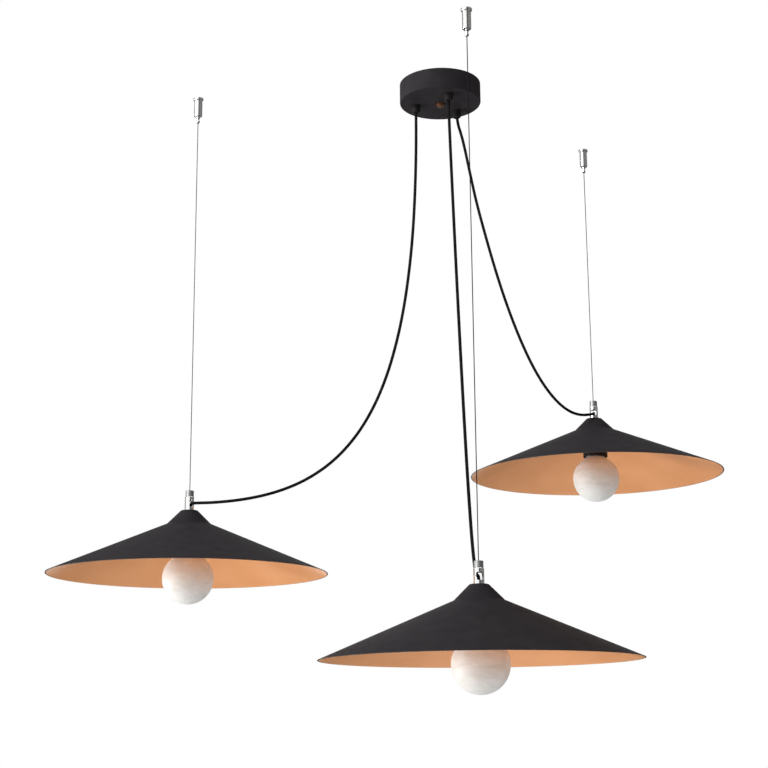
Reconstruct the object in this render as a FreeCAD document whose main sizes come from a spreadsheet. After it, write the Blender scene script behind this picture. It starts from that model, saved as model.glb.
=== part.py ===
import FreeCAD, Part

import math
import os
import re

import Sketcher
from FreeCAD import Placement, Rotation, Vector

# Driving sizes, in millimetres and degrees. The ceiling is the plane z = 0, and heights below it
# are negative. A lamp's own heights are counted from the flat top of its shade.
SIZES = {
    # round cover on the ceiling
    "canopy_diameter": 133,
    "canopy_height": 33,
    "canopy_wall": 1.2,
    "canopy_edge_round": 1.5,
    # steel strap under the ceiling, its slots, and the stud that the cover hangs on
    "strap_length": 108,
    "strap_width": 22,
    "strap_thick": 2,
    "slot_spacing": 84,
    "slot_length": 12,
    "slot_width": 4.6,
    "stud_diameter": 6,
    "stud_clearance": 0.05,
    "cap_nut_diameter": 13,
    "cap_nut_height": 5.5,
    "cap_nut_round": 1.5,
    "cap_nut_depth": 4,
    # cord grips in the cover
    "grip_count": 3,
    "grip_inset": 25.5,
    "grip_first_angle": 47,
    "grip_diameter": 15.5,
    "grip_height": 12.5,
    "grip_round": 1,
    "grip_neck_diameter": 8,
    "grip_neck_rise": 9,
    "grip_mouth": 3.6,
    "grip_mouth_depth": 4,
    "grip_hole_clearance": 0.1,
    "lock_nut_width": 12,
    "lock_nut_height": 4,
    # terminal block under the strap
    "block_start": 7,
    "block_width": 17,
    "block_height": 13,
    "pole_count": 3,
    "pole_pitch": 8,
    "wire_hole_diameter": 4,
    "wire_hole_depth": 7,
    "terminal_screw_diameter": 3,
    "terminal_screw_length": 4,
    "terminal_screw_inset": 4.5,
    "terminal_screw_clearance": 0.05,
    "lead_diameter": 1.8,
    # round flexible cord
    "cord_diameter": 4.8,
    "cord_clearance": 0.1,
    "cord_inner_end": 18,
    # where the three lamps hang, and how far the tops of their shades are below the ceiling
    "left_x": -405,
    "left_y": 47,
    "left_drop": 699,
    "left_window_angle": -45,
    "front_x": 30,
    "front_y": -266,
    "front_drop": 850,
    "front_window_angle": 94.5,
    "right_x": 273,
    "right_y": 288,
    "right_drop": 505,
    "right_window_angle": -98,
    # cable anchor on the ceiling: screwed base, barrel, spring and release nose
    "base_diameter": 17,
    "base_height": 5,
    "base_spigot_diameter": 10,
    "base_spigot_length": 5,
    "anchor_screw_hole": 4,
    "anchor_screw_head": 7.2,
    "anchor_screw_head_depth": 3,
    "barrel_diameter": 13.6,
    "barrel_end": 34,
    "barrel_floor": 3.5,
    "barrel_chamber": 8.6,
    "barrel_edge_round": 2,
    "nose_diameter": 6.5,
    "nose_end": 45,
    "nose_round": 1.6,
    "nose_flange_height": 2,
    "nose_clearance": 0.05,
    "nose_cable_hole": 1.8,
    "nose_spring_outer": 8.2,
    "nose_spring_inner": 7.3,
    # steel cable and its swaged end
    "cable_diameter": 1.5,
    "cable_top": 12,
    "cable_clearance": 0.1,
    "ferrule_diameter": 4.6,
    "ferrule_length": 6,
    # head that carries the shade: cap and windowed tube
    "tube_diameter": 15,
    "tube_height": 22,
    "tube_bore": 11.5,
    "tube_floor": 3,
    "tube_shoulder": 1,
    "window_width": 9.5,
    "window_height": 11,
    "window_corner": 2.5,
    "window_middle": 10.5,
    "cord_entry": 11.5,
    "spigot_diameter": 10,
    "spigot_bore": 5.6,
    "spigot_length": 13,
    "cap_diameter": 13.2,
    "cap_height": 9.5,
    "cap_round": 0.8,
    "cap_spigot_length": 4.5,
    "cap_ceiling": 5.5,
    "thread_clearance": 0.05,
    # spun metal shade
    "shade_diameter": 440,
    "shade_height": 101,
    "shade_wall": 1.2,
    "knee_diameter": 70,
    "knee_depth": 22,
    "shade_top_diameter": 26,
    "shade_top_round": 4,
    "shade_nut_width": 14,
    "shade_nut_height": 4,
    # screw lampholder
    "holder_diameter": 42,
    "holder_mouth": 69.1,
    "holder_wall": 2,
    "holder_neck_diameter": 16,
    "holder_shoulder": 12.5,
    "holder_joint": 30,
    "insert_top": 24,
    "insert_flange": 3,
    "insert_ledge": 17,
    "insert_diameter": 35,
    "insert_end": 62,
    "insert_bore": 26.6,
    "contact_depth": 29.8,
    # globe bulb with a screw cap
    "bulb_diameter": 80,
    "globe_clearance": 4,
    "bulb_wall": 1,
    "bulb_neck_diameter": 24.4,
    "bulb_neck_top": 50,
    "bulb_neck_curve": 20,
    "bulb_cap_diameter": 26,
    "bulb_cap_wall": 0.7,
    "bulb_cap_end": 56,
    "bulb_tip": 30,
    "bulb_tip_diameter": 9,
    "bulb_tip_height": 2,
    "bulb_cap_cone": 6,
    "bulb_cap_floor": 37.5,
    "bulb_gap": 0.1,
    "core_diameter": 10,
    "core_short_of_centre": 13,
    "light_board_diameter": 21.6,
    "light_board_thick": 2.5,
}

LAMPS = ("left", "front", "right")
# the circle that the cord grips stand on, and how deep the middle of a globe is
GRIP_CIRCLE = "(canopy_diameter / 2 - grip_inset)"
GLOBE_DEPTH = "(holder_mouth + globe_clearance + sqrt((bulb_diameter / 2) ^ 2 - (holder_diameter / 2) ^ 2))"
# a cord grip's number on its circle, for the lamp that its cord goes to
GRIP_OF = {"right": 0, "left": 1, "front": 2}

doc = FreeCAD.newDocument("pendant_lamp")
sheet = doc.addObject("Spreadsheet::Sheet", "Sizes")
for row, (name, value) in enumerate(SIZES.items(), 1):
    sheet.set(f"A{row}", name)
    sheet.set(f"B{row}", str(value))
    sheet.setAlias(f"B{row}", name)
doc.recompute()


def size(name):
    """A size's value, read from the sheet."""
    return float(sheet.get(name))


def linked(text):
    """An expression in the sheet's names, written as FreeCAD reads it from another object."""
    return re.sub(r"[a-z_]+", lambda m: "Sizes." + m.group() if m.group() in SIZES else m.group(), text)


def plane_of(body, role):
    return next(o for o in body.Origin.OriginFeatures if o.Role == role)


def sketch_on(body, role, name):
    sketch = body.newObject("Sketcher::SketchObject", name)
    sketch.AttachmentSupport = (plane_of(body, role), "")
    sketch.MapMode = "FlatFace"
    return sketch


def tie(sketch, kind, refs, text, guess=1.0):
    """Adds one dimension and binds it to the sheet."""
    at = sketch.addConstraint(Sketcher.Constraint(kind, *refs, guess))
    sketch.setExpression(f"Constraints[{at}]", linked(text))


def outline(sketch, corners):
    """A closed outline of straight sides. Each corner is (across, up), as expressions."""
    first = sketch.GeometryCount
    count = len(corners)
    turn = 2 * math.pi / count
    guess = [Vector(60 + 50 * math.cos(i * turn), 50 * math.sin(i * turn), 0) for i in range(count)]
    for i in range(count):
        sketch.addGeometry(Part.LineSegment(guess[i], guess[(i + 1) % count]), False)
    for i in range(count):
        after = first + (i + 1) % count
        sketch.addConstraint(Sketcher.Constraint("Coincident", first + i, 2, after, 1))
    for i, (across, up) in enumerate(corners):
        tie(sketch, "DistanceX", (-1, 1, first + i, 1), across, guess[i].x)
        tie(sketch, "DistanceY", (-1, 1, first + i, 1), up, guess[i].y)


def circles(sketch, places, radius):
    """Circles of one radius. Each place is (across, up), as expressions."""
    for across, up in places:
        at = sketch.addGeometry(Part.Circle(Vector(1, 1, 0), Vector(0, 0, 1), 2), False)
        tie(sketch, "DistanceX", (-1, 1, at, 3), across)
        tie(sketch, "DistanceY", (-1, 1, at, 3), up)
        tie(sketch, "Radius", (at,), radius, 2.0)


def rounded_window(sketch, wide, high, corner, middle):
    """A rectangle with round corners, centred across, with its middle at a height."""
    a, b, r, m = size(wide) / 2, size(high) / 2, size(corner), size(middle)
    places = [(a - r, m + b - r), (r - a, m + b - r), (r - a, m - b + r), (a - r, m - b + r)]
    for i, (x, y) in enumerate(places):
        circle = Part.Circle(Vector(x, y, 0), Vector(0, 0, 1), r)
        sketch.addGeometry(Part.ArcOfCircle(circle, i * math.pi / 2, (i + 1) * math.pi / 2), False)
    for i in range(4):
        j = (i + 1) % 4
        end = sketch.Geometry[i].EndPoint
        start = sketch.Geometry[j].StartPoint
        at = sketch.addGeometry(Part.LineSegment(end, start), False)
        sketch.addConstraint(Sketcher.Constraint("Tangent", i, 2, at, 1))
        sketch.addConstraint(Sketcher.Constraint("Tangent", at, 2, j, 1))
        sketch.addConstraint(Sketcher.Constraint("Horizontal" if i % 2 == 0 else "Vertical", at))
    signs = [(1, 1), (-1, 1), (-1, -1), (1, -1)]
    for i, (sx, sy) in enumerate(signs[:3]):
        if i != 1:
            tie(sketch, "Radius", (i,), corner, r)
        if i < 2:
            tie(sketch, "DistanceX", (-1, 1, i, 3), f"{sx} * ({wide} / 2 - {corner})", sx * (a - r))
    tie(sketch, "DistanceY", (-1, 1, 0, 3), f"{middle} + {high} / 2 - {corner}", m + b - r)
    tie(sketch, "DistanceY", (-1, 1, 2, 3), f"{middle} - {high} / 2 + {corner}", m - b + r)


def spun(label, corners):
    """A body turned about its own upright axis from an outline of (radius, height)."""
    body = doc.addObject("PartDesign::Body", label)
    sketch = sketch_on(body, "XZ_Plane", label + "_outline")
    outline(sketch, corners)
    turned = body.newObject("PartDesign::Revolution", label + "_turned")
    turned.Profile = sketch
    turned.ReferenceAxis = (sketch, ["V_Axis"])
    turned.Angle = 360
    doc.recompute()
    return body


def round_edges(body, radius, rings):
    """Rounds the circular edges at each (radius, height) ring, given as numbers."""
    base = body.Tip
    picked = []
    for i, edge in enumerate(base.Shape.Edges, 1):
        curve = edge.Curve
        if not isinstance(curve, Part.Circle):
            continue
        for ring, height in rings:
            if abs(curve.Radius - ring) < 1e-4 and abs(curve.Center.z - height) < 1e-4:
                picked.append(f"Edge{i}")
    fillet = body.newObject("PartDesign::Fillet", body.Label + "_round")
    fillet.Base = (base, picked)
    fillet.setExpression("Radius", linked(radius))
    doc.recompute()


def pocket_through(body, sketch, name):
    """Cuts the sketch's shapes through all of the body, both ways."""
    cut = body.newObject("PartDesign::Pocket", name)
    cut.Profile = sketch
    cut.SideType = "Symmetric"
    cut.Type = "ThroughAll"
    doc.recompute()
    return cut


def place_at(obj, lamp, height):
    """Puts an object on a lamp's axis, at a height given as an expression."""
    obj.setExpression("Placement.Base.x", linked(f"{lamp}_x"))
    obj.setExpression("Placement.Base.y", linked(f"{lamp}_y"))
    obj.setExpression("Placement.Base.z", linked(height))


def hex_nut(label, width, height, bore):
    """A hexagon nut that stands on its own origin."""
    prism = doc.addObject("Part::Prism", label + "_hexagon")
    prism.Polygon = 6
    prism.setExpression("Circumradius", linked(f"{width} / sqrt(3)"))
    prism.setExpression("Height", linked(height))
    hole = doc.addObject("Part::Cylinder", label + "_hole")
    hole.setExpression("Radius", linked(bore))
    hole.setExpression("Height", linked(height))
    nut = doc.addObject("Part::Cut", label)
    nut.Base = prism
    nut.Tool = hole
    return nut


def grip_angle(lamp):
    return math.radians(size("grip_first_angle") + GRIP_OF[lamp] * 360 / size("grip_count"))


def grip_place(lamp):
    """Where a lamp's cord grip is on the cover, seen from above."""
    reach = size("canopy_diameter") / 2 - size("grip_inset")
    return Vector(reach * math.cos(grip_angle(lamp)), reach * math.sin(grip_angle(lamp)), 0)


def place_at_grip(obj, lamp, height):
    turn = GRIP_OF[lamp]
    angle = f"(grip_first_angle + {turn} * 360 / grip_count) * 1deg"
    obj.setExpression("Placement.Base.x", linked(f"{GRIP_CIRCLE} * cos({angle})"))
    obj.setExpression("Placement.Base.y", linked(f"{GRIP_CIRCLE} * sin({angle})"))
    obj.setExpression("Placement.Base.z", linked(height))


def bent_tube(points, diameter):
    """A round tube along straight runs joined by tangent arcs, with its length and its radii."""
    edges, radii, start = [], [], points[0]
    for before, corner, after in zip(points, points[1:], points[2:]):
        into, out = corner - before, after - corner
        turn = into.getAngle(out)
        back = 0.45 * min(into.Length, out.Length)
        radii.append(back / math.tan(turn / 2))
        into.normalize()
        out.normalize()
        first, last = corner - into * back, corner + out * back
        inward = (out - into).normalize()
        apex = corner + inward * (radii[-1] / math.cos(turn / 2) - radii[-1])
        edges.append(Part.LineSegment(start, first).toShape())
        edges.append(Part.Arc(first, apex, last).toShape())
        start = last
    edges.append(Part.LineSegment(start, points[-1]).toShape())
    path = Part.Wire(edges)
    ring = Part.Wire(Part.makeCircle(diameter / 2, points[0], points[1] - points[0]))
    return path.makePipeShell([ring], True, False), path.Length, radii


def canopy_cover():
    """Deep-drawn steel cover, open against the ceiling, with holes for the stud and the grips."""
    body = spun("canopy_cover", [
        ("0", "-canopy_height"),
        ("canopy_diameter / 2", "-canopy_height"),
        ("canopy_diameter / 2", "0"),
        ("canopy_diameter / 2 - canopy_wall", "0"),
        ("canopy_diameter / 2 - canopy_wall", "canopy_wall - canopy_height"),
        ("0", "canopy_wall - canopy_height"),
    ])
    round_edges(body, "canopy_edge_round", [(size("canopy_diameter") / 2, -size("canopy_height"))])
    middle = sketch_on(body, "XY_Plane", "stud_hole_outline")
    circles(middle, [("0", "0")], "stud_diameter / 2 + stud_clearance")
    pocket_through(body, middle, "stud_hole")
    grip = sketch_on(body, "XY_Plane", "grip_hole_outline")
    circles(
        grip,
        [(f"{GRIP_CIRCLE} * cos(grip_first_angle * 1deg)", f"{GRIP_CIRCLE} * sin(grip_first_angle * 1deg)")],
        "grip_neck_diameter / 2 + grip_hole_clearance",
    )
    hole = pocket_through(body, grip, "grip_hole")
    holes = body.newObject("PartDesign::PolarPattern", "grip_holes")
    holes.Originals = [hole]
    holes.Axis = (grip, ["N_Axis"])
    holes.Angle = 360
    holes.setExpression("Occurrences", linked("grip_count"))
    body.Tip = holes
    return body


def ceiling_bracket():
    """Steel strap screwed to the ceiling through two slots."""
    body = doc.addObject("PartDesign::Body", "ceiling_bracket")
    sketch = sketch_on(body, "XY_Plane", "strap_outline")
    side, end = "strap_width / 2", "strap_length / 2"
    outline(sketch, [(f"-{end}", f"-{side}"), (end, f"-{side}"), (end, side), (f"-{end}", side)])
    strap = body.newObject("PartDesign::Pad", "strap")
    strap.Profile = sketch
    strap.setExpression("Length", linked("strap_thick"))
    strap.Reversed = True
    doc.recompute()
    stud = sketch_on(body, "XY_Plane", "strap_hole_outline")
    circles(stud, [("0", "0")], "stud_diameter / 2 + stud_clearance")
    pocket_through(body, stud, "strap_hole")
    centre, straight, half = "slot_spacing / 2", "(slot_length - slot_width) / 2", "slot_width / 2"
    flat = sketch_on(body, "XY_Plane", "slot_outline")
    outline(flat, [
        (f"{centre} - {straight}", f"-{half}"),
        (f"{centre} + {straight}", f"-{half}"),
        (f"{centre} + {straight}", half),
        (f"{centre} - {straight}", half),
    ])
    slot = pocket_through(body, flat, "slot")
    ends = sketch_on(body, "XY_Plane", "slot_ends_outline")
    circles(ends, [(f"{centre} - {straight}", "0"), (f"{centre} + {straight}", "0")], half)
    slot_ends = pocket_through(body, ends, "slot_ends")
    slots = body.newObject("PartDesign::Mirrored", "second_slot")
    slots.Originals = [slot, slot_ends]
    slots.MirrorPlane = (plane_of(body, "YZ_Plane"), [""])
    body.Tip = slots
    return body


def centre_stud():
    """Threaded rod, welded flush in the strap, that ends inside the cap nut."""
    end = "-(canopy_height + cap_nut_depth - 0.5)"
    radius = "stud_diameter / 2"
    return spun("centre_stud", [("0", end), (radius, end), (radius, "0"), ("0", "0")])


def centre_nut():
    """Copper cap nut that holds the cover up on the stud."""
    radius, bore = "cap_nut_diameter / 2", "stud_diameter / 2 + stud_clearance"
    low = "-(canopy_height + cap_nut_height)"
    deep = "-(canopy_height + cap_nut_depth)"
    body = spun("centre_nut", [
        ("0", low), (radius, low), (radius, "-canopy_height"),
        (bore, "-canopy_height"), (bore, deep), ("0", deep),
    ])
    lowest = -(size("canopy_height") + size("cap_nut_height"))
    round_edges(body, "cap_nut_round", [(size("cap_nut_diameter") / 2, lowest)])
    return body


def cord_grip(lamp):
    """Black moulded grip: the cord leaves through its flared mouth, and its neck goes up through the cover."""
    outer, neck = "grip_diameter / 2", "grip_neck_diameter / 2"
    bore = "cord_diameter / 2 + cord_clearance"
    body = spun(f"cord_grip_{lamp}", [
        (bore, "grip_mouth_depth - grip_height"),
        ("grip_mouth", "-grip_height"),
        (outer, "-grip_height"),
        (outer, "0"),
        (neck, "0"),
        (neck, "grip_neck_rise"),
        (bore, "grip_neck_rise"),
    ])
    round_edges(body, "grip_round", [(size("grip_diameter") / 2, -size("grip_height"))])
    place_at_grip(body, lamp, "-canopy_height")
    return body


def grip_lock_nuts():
    """Hexagon nuts on the grips' necks, inside the cover."""
    nuts = []
    for lamp in LAMPS:
        bore = "grip_neck_diameter / 2 + thread_clearance"
        nut = hex_nut(f"lock_nut_{lamp}", "lock_nut_width", "lock_nut_height", bore)
        place_at_grip(nut, lamp, "canopy_wall - canopy_height")
        nuts.append(nut)
    group = doc.addObject("Part::Compound", "grip_lock_nuts")
    group.Links = nuts
    return group


def pole_centre(number):
    return f"block_start + pole_pitch * ({number} + 0.5)"


def terminal_block():
    """Moulded connector block under the strap, with a wire hole and two screw holes for each pole."""
    body = doc.addObject("PartDesign::Body", "terminal_block")
    sketch = sketch_on(body, "XY_Plane", "block_outline")
    far, side = "block_start + pole_pitch * pole_count", "block_width / 2"
    outline(sketch, [("block_start", f"-{side}"), (far, f"-{side}"), (far, side), ("block_start", side)])
    block = body.newObject("PartDesign::Pad", "block")
    block.Profile = sketch
    block.setExpression("Length", linked("block_height"))
    block.Reversed = True
    doc.recompute()
    wires = sketch_on(body, "XZ_Plane", "wire_hole_outline")
    poles = range(int(size("pole_count")))
    circles(wires, [(pole_centre(i), "-wire_hole_depth") for i in poles], "wire_hole_diameter / 2")
    pocket_through(body, wires, "wire_holes")
    screws = sketch_on(body, "XY_Plane", "screw_hole_outline")
    inset = "(block_width / 2 - terminal_screw_inset)"
    places = [(pole_centre(i), f"{sign} * {inset}") for i in poles for sign in (-1, 1)]
    circles(screws, places, "terminal_screw_diameter / 2 + terminal_screw_clearance")
    holes = body.newObject("PartDesign::Pocket", "screw_holes")
    screws.setExpression("AttachmentOffset.Base.z", linked("-block_height"))
    holes.Profile = screws
    holes.Reversed = True
    holes.setExpression("Length", linked("block_height - wire_hole_depth"))
    body.setExpression("Placement.Base.z", linked("-strap_thick"))
    return body


def terminal_screws():
    """Two clamping screws for each pole, heads flush with the block's underside."""
    screws = []
    for i in range(int(size("pole_count"))):
        for sign in (-1, 1):
            side = "minus" if sign < 0 else "plus"
            screw = doc.addObject("Part::Cylinder", f"screw_{side}_{i + 1}")
            screw.setExpression("Radius", linked("terminal_screw_diameter / 2"))
            screw.setExpression("Height", linked("terminal_screw_length"))
            screw.setExpression("Placement.Base.x", linked(pole_centre(i)))
            inset = "(block_width / 2 - terminal_screw_inset)"
            screw.setExpression("Placement.Base.y", linked(f"{sign} * {inset}"))
            screw.setExpression("Placement.Base.z", linked("-strap_thick - block_height"))
            screws.append(screw)
    group = doc.addObject("Part::Compound", "terminal_screws")
    group.Links = screws
    return group


def inner_leads():
    """Two insulated leads from each cord's inner end to the terminal block."""
    lead, height = size("lead_diameter"), -size("strap_thick") - size("wire_hole_depth")
    face = size("block_width") / 2
    first = size("block_start") + size("pole_pitch") / 2
    apart = lead / 2 + 0.1
    cord_end = -size("cord_inner_end")
    # for each lamp: the side of the block that its leads enter, and their shift in the wire hole
    entries = {"left": (1, -apart), "right": (1, apart), "front": (-1, 0)}
    solids = []
    for lamp, (side, shift) in entries.items():
        start = grip_place(lamp)
        for pole, split in ((0, -apart), (1, apart)):
            x = first + pole * size("pole_pitch") + shift
            begin = Vector(start.x + split, start.y, cord_end)
            rise = Vector(start.x + split, start.y, height + (1.5 if lamp == "left" else 0.5))
            stand_off = face + (11 if lamp == "left" and pole else 7)
            turn = Vector(x, side * stand_off, height + (0.3 if lamp == "left" else 0))
            inside = Vector(x, side * (face - 5), height)
            tube, _, _ = bent_tube([begin, rise, turn, inside], lead)
            solids.append(tube)
    leads = doc.addObject("Part::Feature", "inner_leads")
    leads.Shape = Part.makeCompound(solids)
    return leads


def cord_route(lamp):
    """The cord's points: (outward from its grip to its lamp, aside, height)."""
    routes = {
        "left": [
            (1, 0, -124), (3.5, 0, -188), (7.5, 0, -252), (14, 0, -315), (23, 0, -376.5),
            (35.5, 0, -435.5), (52, 0, -491.5), (74, 0, -543.5), (103, 0, -590), (139, 2, -628.5),
            (181.5, 5, -657), (227.5, 10, -675.5), (275.5, 15, -686), (323, 14, -689.5),
            (351.5, 8, -688.5),
        ],
        "front": [
            (9.7, 0, -123.5), (21.3, 0, -184.5), (33.4, 0, -247), (45.8, 0, -309.5), (58.7, 0, -371.5),
            (72, 0, -433), (85.8, 0, -494.5), (100.2, 0, -556), (115.5, 0, -617), (131.3, 0, -676),
            (147.5, 0, -729.5), (163.2, 0, -774), (178.7, 0, -807), (194, 0, -828), (210, 0, -837),
        ],
        "right": [
            (12.5, 0, -74), (22.5, 0, -104), (33.5, 0, -141), (47, 0, -183.5), (68.5, 0, -236.5),
            (92.7, 0, -292), (120.5, 0, -346.5), (152, 0, -397.5), (187, 0, -442.5), (225.5, 0, -477),
            (266.7, 0, -499), (309.5, 0, -506), (340, -11.5, -501),
        ],
    }
    # the first turn below the grip, and how far the cord goes down inside the head
    first_turn = {"left": -62, "front": -64, "right": -50.5}
    start = grip_place(lamp)
    head = Vector(size(f"{lamp}_x"), size(f"{lamp}_y"), 0)
    outward = (head - start).normalize()
    aside = Vector(-outward.y, outward.x, 0)
    entry = size("cord_entry") - size(f"{lamp}_drop")
    down = {"left": 17, "front": 17, "right": 19}
    points = [start + Vector(0, 0, -size("cord_inner_end")), start + Vector(0, 0, first_turn[lamp])]
    points += [start + outward * s + aside * w + Vector(0, 0, z) for s, w, z in routes[lamp]]
    points += [head + Vector(0, 0, entry), head + Vector(0, 0, entry - down[lamp])]
    return points


def power_cord(lamp):
    """Round cord that hangs from its grip and enters the window of its lamp's head."""
    points = cord_route(lamp)
    tube, long, radii = bent_tube(points, size("cord_diameter"))
    section = math.pi * size("cord_diameter") ** 2 / 4
    print(f"{lamp} cord: length {long:.1f} mm, volume over section x length {tube.Volume / section / long:.5f}")
    print("  radii", " ".join(f"{r:.0f}" for r in radii))
    cord = doc.addObject("Part::Feature", f"power_cord_{lamp}")
    cord.Shape = tube
    return cord


def anchor_bases():
    """Plated bases of the cable anchors, each held to the ceiling by one screw through its middle."""
    spigot, hole = "base_spigot_diameter / 2", "anchor_screw_hole / 2"
    end = "-(base_height + base_spigot_length)"
    recess = "anchor_screw_head / 2"
    bases = []
    for lamp in LAMPS:
        body = spun(f"anchor_base_{lamp}", [
            (hole, "0"), ("base_diameter / 2", "0"), ("base_diameter / 2", "-base_height"),
            (spigot, "-base_height"), (spigot, end), (recess, end),
            (recess, f"{end} + anchor_screw_head_depth"), (hole, f"{end} + anchor_screw_head_depth"),
        ])
        place_at(body, lamp, "0")
        bases.append(body)
    group = doc.addObject("Part::Compound", "anchor_bases")
    group.Links = bases
    return group


def anchor_barrel(lamp):
    """Plated barrel screwed on the base. It holds the spring and the release nose."""
    thread = "base_spigot_diameter / 2 + thread_clearance"
    outer, chamber = "barrel_diameter / 2", "barrel_chamber / 2"
    nose = "nose_diameter / 2 + nose_clearance"
    seat = "-(base_height + base_spigot_length + 0.4)"
    floor = "barrel_floor - barrel_end"
    body = spun(f"anchor_barrel_{lamp}", [
        (thread, "-base_height"), (outer, "-base_height"), (outer, "-barrel_end"),
        (nose, "-barrel_end"), (nose, floor), (chamber, floor), (chamber, seat), (thread, seat),
    ])
    round_edges(body, "barrel_edge_round", [(size("barrel_diameter") / 2, -size("barrel_end"))])
    place_at(body, lamp, "0")
    return body


def release_nose(lamp):
    """Spring-loaded nose: pushed up, it lets go of the cable, so the lamp's height can be set."""
    hole, outer = "nose_cable_hole / 2", "nose_diameter / 2"
    flange = "barrel_chamber / 2 - 0.1"
    shelf = "barrel_floor - barrel_end + nose_clearance"
    body = spun(f"release_nose_{lamp}", [
        (hole, "-nose_end"), (outer, "-nose_end"), (outer, shelf), (flange, shelf),
        (flange, f"{shelf} + nose_flange_height"), (hole, f"{shelf} + nose_flange_height"),
    ])
    round_edges(body, "nose_round", [(size("nose_diameter") / 2, -size("nose_end"))])
    place_at(body, lamp, "0")
    return body


def nose_springs():
    """Springs between the bases and the noses, each as a sleeve of the coil's outer and inner size."""
    low = "barrel_floor - barrel_end + nose_clearance + nose_flange_height"
    top = "-(base_height + base_spigot_length)"
    outer, inner = "nose_spring_outer / 2", "nose_spring_inner / 2"
    sleeves = []
    for lamp in LAMPS:
        body = spun(f"nose_spring_{lamp}", [(inner, low), (outer, low), (outer, top), (inner, top)])
        place_at(body, lamp, "0")
        sleeves.append(body)
    group = doc.addObject("Part::Compound", "nose_springs")
    group.Links = sleeves
    return group


FERRULE_TOP = "tube_height + cap_height - cap_ceiling - nose_clearance"


def steel_cable(lamp):
    """Stranded steel cable, pulled straight by the lamp, from inside the barrel to its swaged end."""
    cable = doc.addObject("Part::Cylinder", f"steel_cable_{lamp}")
    bottom = f"{FERRULE_TOP} - ferrule_length - {lamp}_drop"
    cable.setExpression("Radius", linked("cable_diameter / 2"))
    cable.setExpression("Height", linked(f"-cable_top - ({bottom})"))
    place_at(cable, lamp, bottom)
    return cable


def cable_ferrule(lamp):
    """Steel stop swaged on the cable's lower end. The head's cap hangs on it and can turn round it."""
    outer, inner = "ferrule_diameter / 2", "cable_diameter / 2 + 0.01"
    low = f"{FERRULE_TOP} - ferrule_length"
    body = spun(f"cable_ferrule_{lamp}", [
        (inner, low), (outer, low), (outer, FERRULE_TOP), (inner, FERRULE_TOP),
    ])
    place_at(body, lamp, f"-{lamp}_drop")
    return body


def suspension_cap(lamp):
    """Plated cap screwed into the tube. The cable passes through its top."""
    top = "tube_height + cap_height"
    hole = "cable_diameter / 2 + cable_clearance"
    pocket = "ferrule_diameter / 2 + cable_clearance"
    spigot = "tube_bore / 2 - thread_clearance"
    low = "tube_height - cap_spigot_length"
    body = spun(f"suspension_cap_{lamp}", [
        (hole, top), ("cap_diameter / 2", top), ("cap_diameter / 2", "tube_height"),
        (spigot, "tube_height"), (spigot, low), (pocket, low),
        (pocket, f"{top} - cap_ceiling"), (hole, f"{top} - cap_ceiling"),
    ])
    rim = size("tube_height") + size("cap_height")
    round_edges(body, "cap_round", [(size("cap_diameter") / 2, rim)])
    place_at(body, lamp, f"-{lamp}_drop")
    return body


def suspension_tube(lamp):
    """Plated tube with a window each side. The cord goes in there and down its hollow threaded spigot."""
    bore, spigot = "spigot_bore / 2", "spigot_diameter / 2"
    body = spun(f"suspension_tube_{lamp}", [
        (bore, "-spigot_length"), (spigot, "-spigot_length"), (spigot, "0"),
        ("tube_diameter / 2", "0"), ("tube_diameter / 2", "tube_height - tube_shoulder"),
        ("cap_diameter / 2", "tube_height"), ("tube_bore / 2", "tube_height"),
        ("tube_bore / 2", "tube_floor"), (bore, "tube_floor"),
    ])
    window = sketch_on(body, "XZ_Plane", body.Label + "_window")
    rounded_window(window, "window_width", "window_height", "window_corner", "window_middle")
    pocket_through(body, window, body.Label + "_windows")
    # the windows face along the body's own Y, so it is turned to face the cord
    body.Placement = Placement(Vector(), Rotation(Vector(0, 0, 1), 10))
    body.setExpression("Placement.Rotation.Angle", linked(f"{lamp}_window_angle - 90"))
    place_at(body, lamp, f"-{lamp}_drop")
    return body


def shade(lamp):
    """Spun metal shade: flat top, steep upper cone, knee, wide shallow cone, one even wall."""
    body = spun(f"shade_{lamp}", [
        ("0", "0"), ("shade_top_diameter / 2", "0"), ("knee_diameter / 2", "-knee_depth"),
        ("shade_diameter / 2", "-shade_height"), ("0", "-shade_height"),
    ])
    round_edges(body, "shade_top_round", [(size("shade_top_diameter") / 2, 0)])
    base = body.Tip
    open_face = min(range(len(base.Shape.Faces)), key=lambda i: base.Shape.Faces[i].CenterOfMass.z)
    wall = body.newObject("PartDesign::Thickness", body.Label + "_wall")
    wall.Base = (base, [f"Face{open_face + 1}"])
    wall.setExpression("Value", linked("shade_wall"))
    wall.Join = 0
    wall.Reversed = True
    doc.recompute()
    hole = sketch_on(body, "XY_Plane", body.Label + "_hole_outline")
    circles(hole, [("0", "0")], "spigot_diameter / 2 + grip_hole_clearance")
    pocket_through(body, hole, body.Label + "_hole")
    place_at(body, lamp, f"-{lamp}_drop")
    return body


def shade_nut(lamp):
    """Hexagon nut that clamps the shade under the tube."""
    bore = "spigot_diameter / 2 + thread_clearance"
    nut = hex_nut(f"shade_nut_{lamp}", "shade_nut_width", "shade_nut_height", bore)
    place_at(nut, lamp, f"-{lamp}_drop - shade_wall - shade_nut_height")
    return nut


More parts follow.
